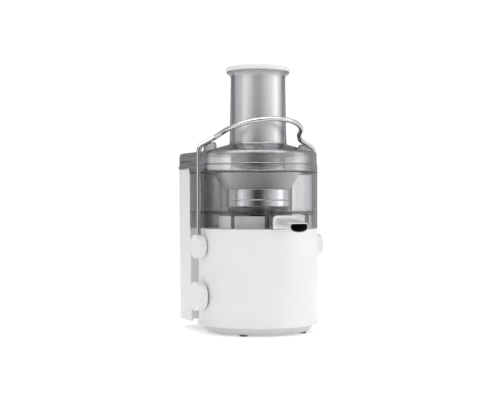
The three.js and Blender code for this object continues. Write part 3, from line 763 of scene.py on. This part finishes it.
# ---- bowl ----
def bowl():
    section = [
        (0, BOWL_LOW), (0, BOWL_LOW + 0.3), (0, BOWL_TOP - 0.9), (0, BOWL_TOP - 0.6),
        (0.5, BOWL_TOP), (WALL - 0.5, BOWL_TOP), (WALL, BOWL_TOP - 0.6), (WALL, BOWL_TOP - 0.9),
        (WALL, FLOOR + 5.4), (WALL, FLOOR + 5), (WALL + 0.5, FLOOR + 2.4),
        (WALL + 1.8, FLOOR + 0.6), (WALL + 4, FLOOR),
    ]
    ribs = ((48, FLOOR), (48, 192.2), (47.6, 192.8), (45.9, 192.8), (45.5, 192.2), (45.5, FLOOR))
    rings = [lift(bowl_outline(i), z) for i, z in section]
    plan = bowl_outline(WALL + 4)
    collar = (
        (29, FLOOR), (26.6, FLOOR + 0.8), (26.4, 191.4), (25.8, 192), (24.6, 192), (24, 191.4),
        (24, 184),
    )
    underside = ((WALL + 2, 184), (WALL, 182.5), (WALL, BOWL_LOW))
    rings += [onto_circle(plan, r, z) for r, z in ribs + collar]
    rings += [lift(bowl_outline(i), z) for i, z in underside]
    wall = piece("wall", *loft(rings, "loop"), BOWL_CLEAR, None)
    combine(wall, "DIFFERENCE", block(-14.6, 14.6, -89.6, -64.4, 180, FLOOR + 3))
    combine(wall, "DIFFERENCE", block(-14.6, 14.6, -96, -88, 168, 179.4))
    body = seal_off(wall, "bowl_body", BOWL_CLEAR, "base")
    stands_for(body, "juice_bowl", "smoky_plastic")

    section = ((-0.35, 246.65), (-0.35, 248.25), (2.7, 248.25), (2.7, 246.65))
    rings = [lift(bowl_outline(i), z) for i, z in section]
    gasket = piece("lid_seal", *loft(rings, "loop"), SEAL, "base")
    stands_for(gasket, "lid_gasket", "rubber")
    # Seen edge on, the floor's rim is the bowl's darkest line; this dark ring in the wall is painted shade for that
    # line where the floor meets the wall.
    section = ((0.4, 184.8), (0.4, 186.4), (3.6, 186.4), (3.6, 184.8))
    rings = [lift(bowl_outline(i), z) for i, z in section]
    rim = piece("bowl_floor_rim", *loft(rings, "loop"), THICK_CLEAR_AND_SHADE, "base")
    # The rib's clearer tint is painted light that lifts the shade under the basket.
    ring = [(46, 187.4), (47.5, 187.4), (47.5, 192.4), (46, 192.4)]
    rib = piece("bowl_rib_core", *turned(ring, 160, True), THIN_CLEAR_LIGHTENED, "base")
    # The trough that the spout drains hangs below the floor and is thin; its clearer tint is also painted light that
    # lifts the shade below the floor.
    trough = piece("trough", *block(-16.4, 16.4, -90.2, -62.8, 166.4, 183.9), THIN_CLEAR_LIGHTENED, None)
    combine(trough, "DIFFERENCE", block(-14.9, 14.9, -91.5, -64.3, 167.6, 190))
    trough = seal_off(trough, "bowl_trough", THIN_CLEAR_LIGHTENED, "base")
    # Ribs between the base's deck and the bowl's floor, and a guide pin beside the spout.
    blocks = (
        ("stay_left", -63, -45, 2.4, 9, 162, 183.5, THICK_CLEAR_AND_SHADE),
        ("stay_right", 63, -45, 2.4, 9, 162, 183.5, THICK_CLEAR_AND_SHADE),
        ("stay_cap_left", -63, -45, 12, 11, 181.6, 183.8, EAR_CLEAR),
        ("stay_cap_right", 63, -45, 12, 11, 181.6, 183.8, EAR_CLEAR),
        ("guide_pin", -23, -81, 5, 5, 162, 183.8, EAR_CLEAR),
        ("guide_pin_top", -23, -81, 3.4, 3.4, 187.1, 191, EAR_CLEAR),
    )
    stays = []
    for name, x, y, w, d, z0, z1, material in blocks:
        shape = block(x - w / 2, x + w / 2, y - d / 2, y + d / 2, z0, z1)
        stays.append(piece(f"bowl_{name}", *shape, material, "base"))
    for part in (rim, rib, trough, *stays):
        stands_for(part, "juice_bowl", "smoky_plastic")


# ---- spout ----
def arch(half, z0, z1, r, inset):
    half, z0, z1 = half - inset, z0 + inset, z1 - inset
    return soften([(-half, z0), (half, z0), (half, z1, r), (-half, z1, r)], True, 10)


NOZZLE_ROOT_Y = -96.0
NOZZLE_ROOT_Z, NOZZLE_MOUTH_Z = 171.9, 165.2
NOZZLE_ROOT_HALF, NOZZLE_MOUTH_HALF = 16.2, 15.2


def nozzle_section(grow, y):
    """The nozzle narrows and falls from its root to its mouth: flat on top, round below."""
    along = (y - NOZZLE_ROOT_Y) / (-DEPTH - NOZZLE_ROOT_Y)
    scale = 1 + (NOZZLE_MOUTH_HALF / NOZZLE_ROOT_HALF - 1) * along
    cz = NOZZLE_ROOT_Z + (NOZZLE_MOUTH_Z - NOZZLE_ROOT_Z) * along
    half, up, down = NOZZLE_ROOT_HALF + grow, 6.6 + grow, 9 + grow
    top_half = half * 0.93
    shape = soften([(-half, 0.5), (-top_half, up, 2.6), (top_half, up, 2.6), (half, 0.5)], False, 7)
    under = []
    for i in range(1, 28):
        a = math.pi * i / 28
        under.append((half * math.cos(a), -down * math.sin(a) ** 0.8 + 0.5 * (1 - math.sin(a))))
    return [(x * scale, y, cz + z * scale) for x, z in shape + under]


def spout():
    rings = [
        [(x, y, z) for x, z in arch(19.3, DECK + 0.2, 181.8, 7.0, inset)]
        for y, inset in ((-93.3, 0), (-96.9, 0), (-97.4, 0.15), (-97.7, 0.6), (-97.8, 1.3))
    ]
    collar = piece("spout_collar", *loft(rings), WHITE, "base")
    stands_for(collar, "spout", "white_plastic")
    front = -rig.box("lid")[1].y / MM
    outside = ((0, -97), (0, -110), (0, -125), (0, front + 1.2), (-0.25, front + 0.35), (-0.8, front))
    bore = ((-1.1, front), (-1.4, front + 0.5), (-1.5, front + 2), (-1.5, -110), (-1.5, -97))
    rings = [nozzle_section(g, y) for g, y in outside + bore]
    tube = piece("spout_tube", *loft(rings, "loop"), PEARL, "base")
    stands_for(tube, "spout", "pearl_plastic")
    # A dark sleeve in the bore is painted shade: the nozzle's inside is dark in shadow.
    outer = [nozzle_section(-1.55, y) for y in (-92, -120, front + 1.2)]
    inner = [nozzle_section(-2, y) for y in (front + 1.2, -120, -92)]
    bore_shade = piece("spout_lining", *loft(outer + inner, "loop"), SEAL, "base")
    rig.slot(bore_shade, "rubber")


def chute():
    """The pale channel that leads juice from the bowl's trough into the spout."""
    half, skin, low_z, high_z = 14.1, 1.0, 168.3, 180.5
    section = [
        (-half, high_z), (-half, low_z), (half, low_z), (half, high_z), (half - skin, high_z),
        (half - skin, low_z + skin), (skin - half, low_z + skin), (skin - half, high_z),
    ]
    rings = [[(x, y, z) for x, z in section] for y in (-89.2, -64.8)]
    made = piece("spout_chute", *loft(rings), WHITE, "base")
    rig.slot(made, "white_plastic")


# ---- filter basket ----
def basket():
    parts = [
        ("basket_rim", "filter_rim", STEEL, [
            (64.9, 246.7), (67, 246.7), (69, 249.4, 0.5), (69, 251, 0.6), (67.6, 252, 0.6),
            (65.4, 250.6),
        ]),
        ("filter_cone", "filter_mesh", FILTER, [
            (49.5, 222.3), (50.4, 222.3), (66, 246.4), (65.1, 246.4),
        ]),
        ("drum", "basket_drum", STEEL, [
            (47.6, 205), (49.9, 205, 0.3), (50.3, 206, 0.3), (50.3, 221.2, 0.6), (49.4, 222, 0.4),
            (44, 222), (44, 220), (47.6, 220),
        ]),
    ]
    for name, node, material, profile in parts:
        made = piece(name, *turned(profile, 160, True, 3), material, "rotor")
        stands_for(made, node, "filter_steel" if node == "filter_mesh" else "steel")
    dish = [
        (5, 194.2), (49.2, 194.2, 0.4), (50.7, 195.4, 0.4), (50.7, 204.2, 0.4), (50.1, 204.7),
        (48.2, 204.7), (48.2, 198.3), (5, 198.3),
    ]
    stem = [(15.4, 182.4), (20.6, 182.4, 0.5), (20.6, 194.15), (5, 194.15), (5, 193), (15.4, 193)]
    for name, profile, material in (("foot", dish, STEEL), ("stem", stem, STEEL_DULL)):
        made = piece(f"basket_{name}", *turned(profile, 160, True, 3), material, "rotor")
        stands_for(made, "basket_base", "steel")


# ---- lid ----
def lid():
    def drop(y):
        return LID_LOW if y < STEP_Y - 0.6 else BIN_TOP + 0.3

    def skirt_ring(inset, rise):
        return [(x, y, drop(y) + rise) for x, y in lid_outline(inset)]

    def at(inset, z):
        return [(x, y, max(z, drop(y) + 1)) for x, y in lid_outline(inset)]

    shoulder = 1.2
    rings = [skirt_ring(0.4, 0), skirt_ring(0, 0.5), skirt_ring(0, 0.8)]
    flange = (
        (0, 259.3), (0, 259.6), (0.15, 260.2), (0.5, 260.7), (shoulder, 261.1), (shoulder, 261.4),
        (shoulder, LID_TOP - 5.9),
    )
    rings += [at(i, z) for i, z in flange]
    fillet = 5.5
    for i in range(9):
        a = math.pi / 2 * i / 8
        outline = lid_outline(shoulder + fillet * (1 - math.cos(a)))
        rings.append(lift(outline, LID_TOP - fillet + fillet * math.sin(a)))
    plan = lid_outline(9.5)
    rings.append(onto_circle(plan, 83.2, LID_TOP + 0.15))
    crown = [
        (80, 282.2), (70, 285.3), (58, 288.9), (48, 291.5), (45.6, 292.6), (44.9, 294), (44.7, 296),
        (40.3, 296),
    ]
    sleeve = [
        (40.2, TUBE_LOW + 0.5), (40.7, TUBE_LOW), (42.5, TUBE_LOW), (43, TUBE_LOW + 0.5),
        (43.2, 286), (44.5, 288.3), (58, 286), (70, 282.4), (78, 279.2),
    ]
    rings += [onto_circle(plan, r, z) for r, z in crown + sleeve]
    inner = shoulder + WALL
    for i in range(9):
        a = math.pi / 2 * (1 - i / 8)
        f = fillet - 1.5
        outline = lid_outline(inner + f * (1 - math.cos(a)))
        rings.append(lift(outline, LID_TOP - WALL - f + f * math.sin(a)))
    rings += [at(inner, 262), at(WALL, 259.5), skirt_ring(WALL, 0.5), skirt_ring(WALL - 0.4, 0)]
    tube = [
        (44.68, 296.05), (44.2, 310), (42.9, 380), (42.6, 395), (42.9, 398), (44.2, 400.6),
        (47.6, 402.4), (48.6, 403.3), (48.8, 404.4), (48.5, TUBE_TOP), (47.2, TUBE_TOP),
        (46.4, 404.8), (43, 403), (40.8, 399.6), (40.3, 396), (40.3, 296.05),
    ]
    shell = piece("lid_shell", *loft(rings, "loop"), LID_CLEAR, "base", 40)
    feed = piece("lid_feed_tube", *turned(tube, 160, True), TUBE_CLEAR, "base", 40)
    for part in (shell, feed):
        stands_for(part, "lid", "smoky_plastic")

    # Seen edge on, the flange's foot and its top corner are the lid's darkest places; the dark ring under the top
    # corner is painted shadow below the ledge, and the ring at the foot darkens the line along the seam.
    for name, z0, z1, inset in (("foot", 0.6, 1.9, 0.5), ("corner", 10.6, 11.8, 1.2)):
        rings = [
            [(x, y, drop(y) + z) for x, y in lid_outline(i)]
            for i, z in ((inset, z0), (inset, z1), (inset + 1.4, z1), (inset + 1.4, z0))
        ]
        part = piece(f"lid_flange_{name}", *loft(rings, "loop"), THICK_CLEAR_AND_SHADE, "base")
        stands_for(part, "lid", "smoky_plastic")

    # The wall inside the lid, over the bowl's rounded back.
    start = math.degrees(math.asin(CORNER_Y / R))
    outline = arc(0, 0, R, start, 180 - start, 60) + arc(0, 0, R - WALL, 180 - start, start, 60)
    rings = [lift(outline, z) for z in (LID_LOW, 256.0)]
    inside = piece("lid_inner_wall", *loft(rings), LID_CLEAR, "base")
    stands_for(inside, "lid", "smoky_plastic")

    for side in (-1, 1):
        slope = (NECK_Z - LEG_TOP) / (ARM_X - NECK_X)

        def under(x):
            return LEG_TOP + (ARM_X - x) * slope - (ROD_R + 0.35) * math.hypot(1, slope)

        shape = [
            (73, 281.5), (90, 279), (90, under(90) - 0.6, 2.5), (76.5, under(76.5), 5.0),
            (73, under(73) - 6, 5.0),
        ]
        outline = soften(shape, True, 6)
        rings = []
        cx, cz = 81.5, 286
        for y, inset in ((-7, 0.9), (-6.6, 0.25), (-5.9, 0), (5.9, 0), (6.6, 0.25), (7, 0.9)):
            k = 1 - inset / 8
            rings.append([(side * (cx + (x - cx) * k), y, cz + (z - cz) * k) for x, z in outline])
        ear = piece(f"lid_ear_{side_name(side)}", *loft(rings), EAR_CLEAR, "base")
        stands_for(ear, "lid", "smoky_plastic")


# ---- pusher ----
def pusher():
    barrel = [
        (0, 237), (38.2, 237, 2.4), (39.4, 241, 1), (39.4, 396), (38.4, 401), (37.5, 404.5),
        (35.5, 404.5), (35.5, 240), (0, 240),
    ]
    made = piece("pusher_body", *turned(barrel, 160), SILVER, "pusher")
    stands_for(made, "pusher_barrel", "silver_plastic")
    cap = [
        (0, 403), (35, 403), (35, 405.8), (50, 405.8, 0.6), (50.8, 406.6, 0.8), (50.8, 411.2, 2.6),
        (46, 413.2, 4), (0, 414.2),
    ]
    made = piece("pusher_lid", *turned(cap, 160), WHITE, "pusher")
    stands_for(made, "pusher_cap", "white_plastic")


# ---- pulp container ----
BIN_GAP = 1.2
BIN_BACK = DEPTH - 0.7
BIN_CORNER = 31.0
WING_EDGE = ((BIN_LOW, 54.0), (95, 57.2), (175, 60.0), (BIN_TOP, 61.0))


def horn_face(z):
    """The front face of the container's horns stands just behind the wing's sloping edge."""
    for (z0, y0), (z1, y1) in zip(WING_EDGE, WING_EDGE[1:]):
        if z <= z1:
            return y0 + (y1 - y0) * (z - z0) / (z1 - z0) + 1.2
    return BIN_FACE


def bin_outline(inset, z):
    hollow = R + 4 + inset
    w = R - BIN_GAP - inset
    y = horn_face(z) + inset
    start = math.degrees(math.asin(y / hollow))
    x = hollow * math.cos(math.radians(start))
    begin, back = back_points(w, BIN_BACK - inset, BIN_CORNER - inset)
    points = line((w, y), (w, begin), 10) + back
    points += line((-w, begin), (-w, y), 10) + line((-w, y), (-x, y), 5)
    points += arc(0, 0, hollow, 180 - start, start, 64) + line((x, y), (w, y), 5)
    return [taper(px, py, z) for px, py in points]


def taper(x, y, z):
    s = 1 - 0.016 * (BIN_TOP - z) / (BIN_TOP - BIN_LOW)
    return (x * s, 100 + (y - 100) * (1 - 3.5 * (1 - s)) if y > 100 else y, z)


def container():
    section = [
        (1.6, 17.3), (0.4, 17.6), (0, 18.6), (0, 95), (0, 175), (0, BIN_TOP - 1),
        (0.3, BIN_TOP - 0.3), (0.9, BIN_TOP), (WALL - 0.6, BIN_TOP), (WALL, BIN_TOP - 0.6),
        (WALL, 175), (WALL, 95), (WALL, 25), (WALL + 1, 21.5), (WALL + 4, 20),
    ]
    body = piece("bin_body", *loft([bin_outline(i, z) for i, z in section]), WHITE, "pulp_bin")
    stands_for(body, "pulp_container", "white_plastic")
    # A skirt round the back and sides below the floor.
    outer_start, outer = back_points(R - BIN_GAP, BIN_BACK, BIN_CORNER)
    inner_start, inner = back_points(R - BIN_GAP - WALL, BIN_BACK - WALL, BIN_CORNER - WALL)
    front = horn_face(BIN_LOW)
    x = R - BIN_GAP
    outer = [(x, front)] + outer + [(-x, outer_start), (-x, front)]
    x -= WALL
    inner = [(x, front)] + inner + [(-x, inner_start), (-x, front)]
    outline = outer + inner[::-1]
    rings = [[taper(x, y, z) for x, y in outline] for z in (BIN_LOW, 18.2)]
    ring = piece("bin_skirt", *loft(rings), WHITE, "pulp_bin")
    stands_for(ring, "pulp_container", "white_plastic")
    # Each side runs forward as a thin wing.
    for side in (-1, 1):
        rings = []
        for dx, trim in ((0, 0.5), (0.4, 0), (WALL - 0.4, 0), (WALL, 0.5)):
            x = side * (R - BIN_GAP - dx)
            edge = [(y, min(max(z, BIN_LOW + trim), BIN_TOP - trim)) for z, y in WING_EDGE]
            shape = [(y + trim, z) for y, z in edge] + [(y + 1.3, z) for y, z in reversed(edge)]
            rings.append([taper(x, y, z) for y, z in shape])
        wing = piece(f"bin_wing_{side_name(side)}", *loft(rings), WHITE, "pulp_bin")
        stands_for(wing, "pulp_container", "white_plastic")


# ---- CAD pieces that keep their shape get materials of their own ----
def dress_the_rest():
    looks = {
        "rubber": RUBBER, "steel": STEEL_DULL, "iron": IRON, "copper": COPPER, "dark_plastic": DARK,
        "circuit_board": BOARD, "white_plastic": WHITE, "filter_steel": FILTER,
    }
    replaced = {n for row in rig.table()["pieces"] for n in row.get("replaces", [])}
    slots = {s["node"]: s["material_slot"] for s in frame["record"]["subparts"]}
    for obj in list(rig.pieces()):
        node = obj.get("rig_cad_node")
        if not node:
            continue
        if node in replaced:
            obj.hide_render = True
            obj.hide_viewport = True
            continue
        material = looks[slots[node]]
        if obj.data.materials:
            for i in range(len(obj.data.materials)):
                obj.data.materials[i] = material
        else:
            obj.data.materials.append(material)


# ---- studio ----
def panel(name, place, size, power, diffuse=True, glossy=True):
    """A rectangular light that faces the juicer."""
    light = bpy.data.lights.new(name, "AREA")
    light.shape, light.size, light.size_y, light.energy = "RECTANGLE", size[0], size[1], power
    lamp = bpy.data.objects.new(name, light)
    lamp.location = place
    lamp.rotation_euler = (Vector((0, 0, 0.25)) - Vector(place)).to_track_quat("-Z", "Y").to_euler()
    lamp.visible_diffuse, lamp.visible_glossy = diffuse, glossy
    lamp.visible_camera = False
    bpy.context.scene.collection.objects.link(lamp)


def studio():
    floor_verts, floor_faces = block(-3000, 3000, -3000, 3000, -20, 0)
    n = Nodes("studio_floor")
    shader = n.add(
        "ShaderNodeBsdfPrincipled",
        {
            "Base Color": n.ramp(n.noise(2), grey(0.93), grey(0.95)),
            "Roughness": 0.9,
            "Emission Color": (1, 1, 1, 1),
            "Emission Strength": 0.3,
        },
    )
    floor = piece("floor", floor_verts, floor_faces, n.finish(shader.outputs[0]), None)
    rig.stage(floor)

    world = bpy.data.worlds.new("studio")
    bpy.context.scene.world = world
    world.use_nodes = True
    tree = world.node_tree
    tree.nodes.clear()

    def add(kind, **props):
        node = tree.nodes.new(kind)
        for key, value in props.items():
            setattr(node, key, value)
        return node

    # A pale room that is darkest in front of the juicer and has a broad soft light on each side.
    out, coord = add("ShaderNodeOutputWorld"), add("ShaderNodeTexCoord")
    turned_to = add("ShaderNodeMapping")
    turned_to.inputs["Rotation"].default_value = (0, 0, math.radians(-65 + 180))
    around, wall = add("ShaderNodeTexGradient", gradient_type="RADIAL"), add("ShaderNodeValToRGB")
    stops = (
        (-180, 0.25), (-160, 0.3), (-142, 0.55), (-115, 0.55), (-80, 0.75), (-58, 1.05),
        (-42, 0.95), (-24, 0.4), (-11, 0.05), (7, 0.05), (26, 0.4), (48, 0.9), (70, 1.5), (92, 1.7),
        (112, 1.1), (142, 0.9), (160, 0.35), (180, 0.25),
    )
    set_stops(wall.color_ramp, [((angle + 180) / 360, grey(level / 2)) for angle, level in stops])
    split, rise = add("ShaderNodeSeparateXYZ"), add("ShaderNodeMapRange")
    rise.inputs["From Min"].default_value, rise.inputs["From Max"].default_value = 0.45, 0.85
    ceiling = add("ShaderNodeMix", data_type="RGBA")
    ceiling.inputs["B"].default_value = grey(0.6)
    seen, lit = add("ShaderNodeBackground"), add("ShaderNodeBackground")
    path, mix = add("ShaderNodeLightPath"), add("ShaderNodeMixShader")
    seen.inputs["Strength"].default_value, seen.inputs["Color"].default_value = 1.05, (1, 1, 1, 1)
    lit.inputs["Strength"].default_value = 2.0
    for a, b in (
        (coord.outputs["Generated"], turned_to.inputs["Vector"]),
        (turned_to.outputs[0], around.inputs["Vector"]),
        (around.outputs["Fac"], wall.inputs["Fac"]),
        (coord.outputs["Generated"], split.inputs[0]),
        (split.outputs["Z"], rise.inputs["Value"]),
        (rise.outputs["Result"], ceiling.inputs["Factor"]),
        (wall.outputs["Color"], ceiling.inputs["A"]),
        (ceiling.outputs["Result"], lit.inputs["Color"]),
        (path.outputs["Is Camera Ray"], mix.inputs["Fac"]),
        (lit.outputs[0], mix.inputs[1]),
        (seen.outputs[0], mix.inputs[2]),
        (mix.outputs[0], out.inputs["Surface"]),
    ):
        tree.links.new(a, b)

    turn, distance, height = math.radians(25), 1.696, 0.196
    panel("roof", (0.2, -0.1, 2.2), (1.6, 1.6), 3)
    panel("front_fill", (-0.7, -2.2, 0.5), (1.6, 0.8), 5, glossy=False)
    # Two tall panels and one overhead are only there for what is shiny.
    for name, angle, width, power in (("left_panel", -62, 0.9, 3.5), ("right_panel", 88, 1.1, 6)):
        a = -turn + math.radians(angle)
        panel(name, (2.4 * math.sin(a), -2.4 * math.cos(a), 0.7), (width, 2.4), power, False)
    panel("overhead_panel", (-0.5, -1.0, 2.4), (5.0, 2.0), 95, False)
    camera = bpy.data.cameras.new("camera")
    camera.lens, camera.sensor_width = 77.76, 36
    camera.shift_x, camera.shift_y = -8 / 500, 6 / 500
    camera.clip_end = 50
    eye = bpy.data.objects.new("camera", camera)
    eye.location = (-math.sin(turn) * distance, -math.cos(turn) * distance, height)
    eye.rotation_euler = (math.pi / 2, 0, -turn)
    bpy.context.scene.collection.objects.link(eye)
    bpy.context.scene.camera = eye
    bpy.context.scene.view_settings.view_transform = "Standard"


base()
skirt()
feet()
knobs()
figures()
arm()
bowl()
spout()
chute()
basket()
lid()
pusher()
container()
dress_the_rest()
studio()

bpy.context.view_layer.update()
with open("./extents.json", "w") as out:
    json.dump({"cad": [list(v) for v in CAD_BOX], "made": [list(v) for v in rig.bounds()]}, out)
